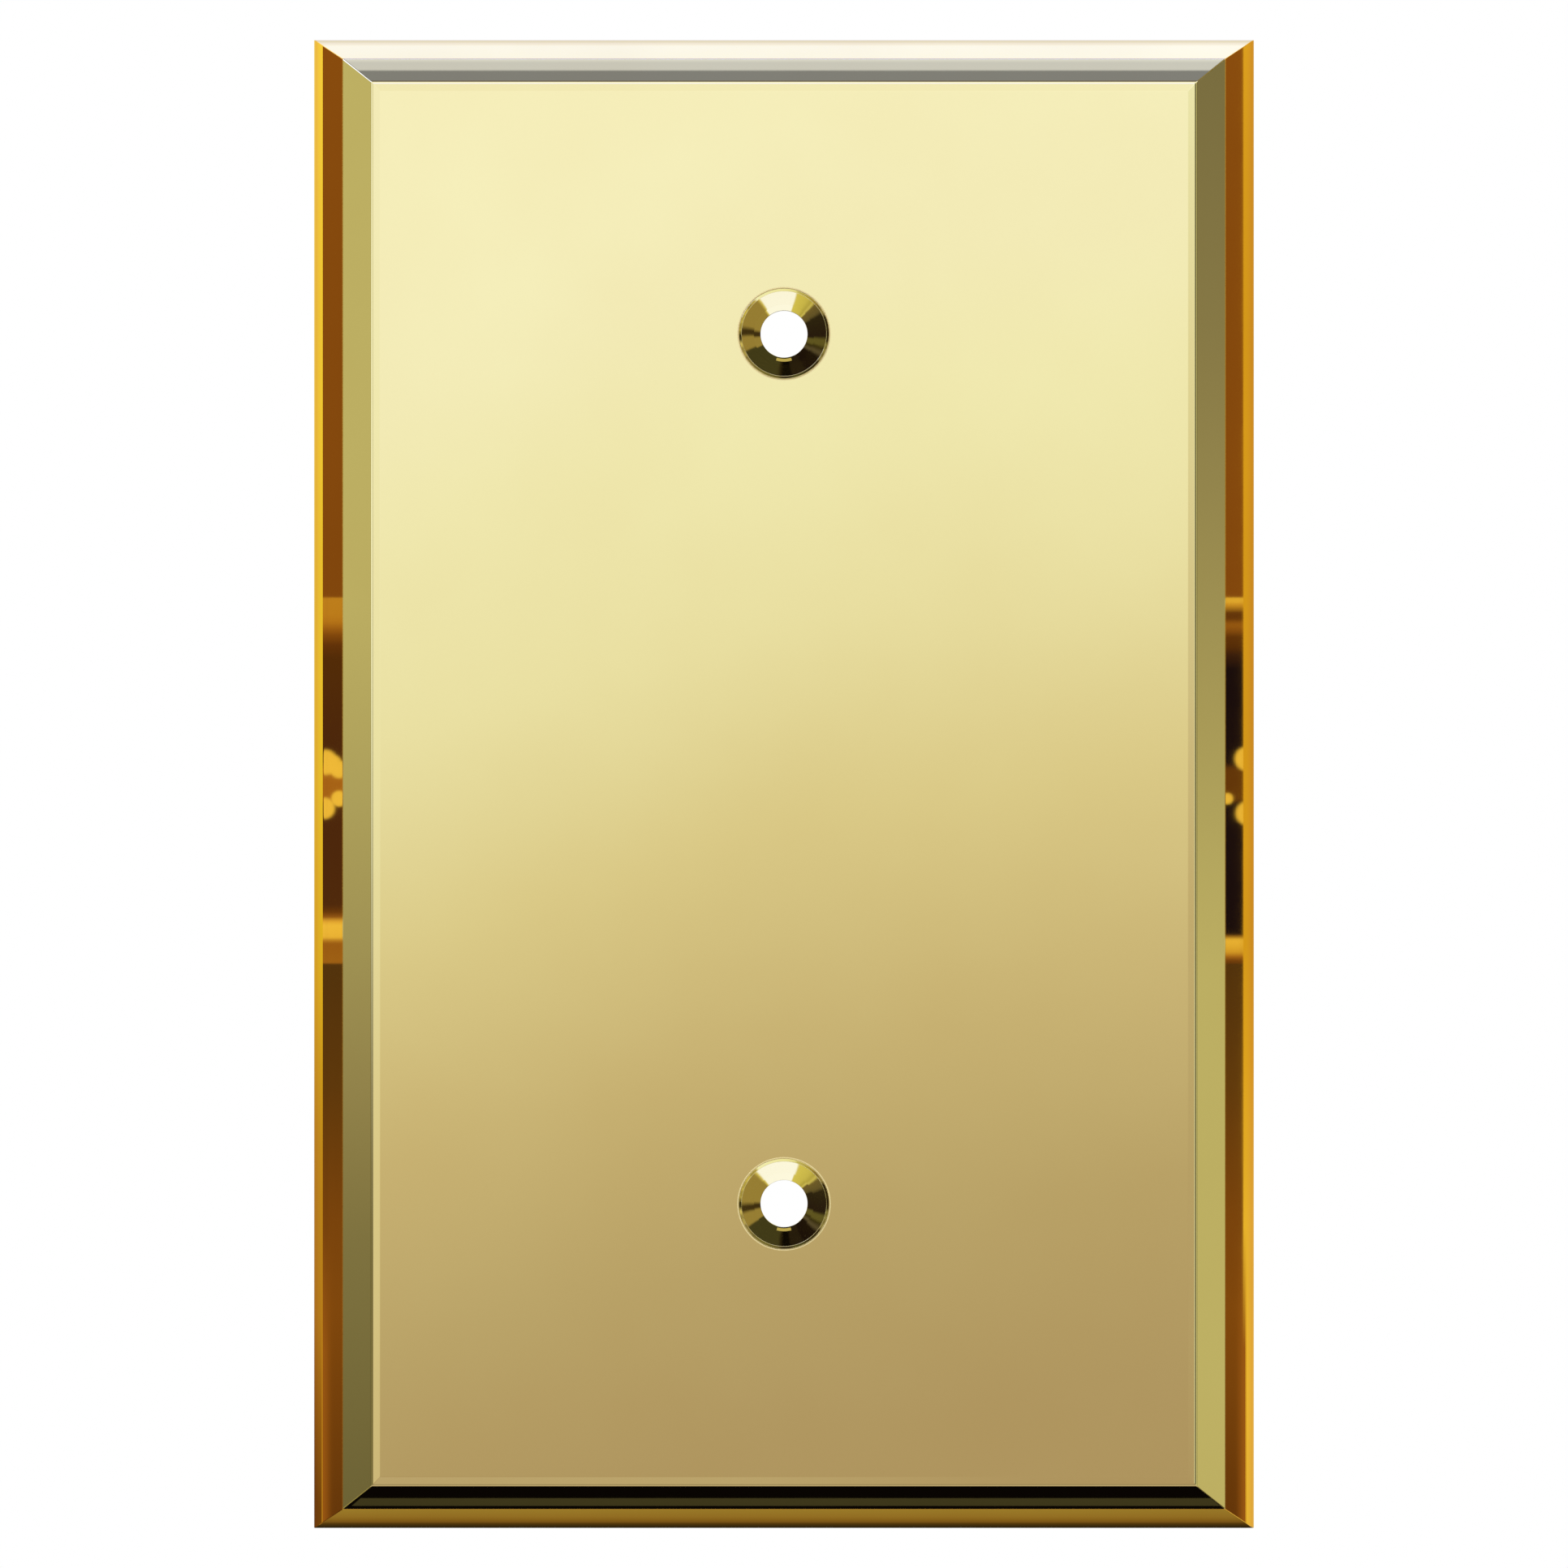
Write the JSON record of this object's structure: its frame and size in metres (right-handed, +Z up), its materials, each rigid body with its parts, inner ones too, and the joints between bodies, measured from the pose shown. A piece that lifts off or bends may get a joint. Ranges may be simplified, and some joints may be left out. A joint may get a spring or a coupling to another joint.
{
  "type": "blank wall cover plate",
  "caption": "Rectangular blank cover plate with a bevelled border in two tones of polished brass, a hollow back, and a vertical pair of empty countersunk screw holes.",
  "frame": {"origin": "middle of the flat ring of the rim frame that bears on the wall", "axes": "+Z up the plate's height, +X across its width to the right as seen from the front, +Y into the wall, so the front faces -Y"},
  "size_m": [0.0902, 0.0062, 0.1428],
  "materials": {
    "rim_brass": "polished deep gold brass",
    "face_brass": "polished pale brass",
    "cup_brass": "turned and polished brass",
    "zinc_plated_steel": "bright zinc plate",
    "spring_steel": "dark oiled spring steel"
  },
  "bodies": {
    "root": {"rim_frame": "rim_brass", "face_plate": "face_brass", "backing_plate": "zinc_plated_steel", "upper_screw_cup": "cup_brass", "lower_screw_cup": "cup_brass", "upper_lock_washer": "spring_steel", "lower_lock_washer": "spring_steel"}
  },
  "joints": []
}
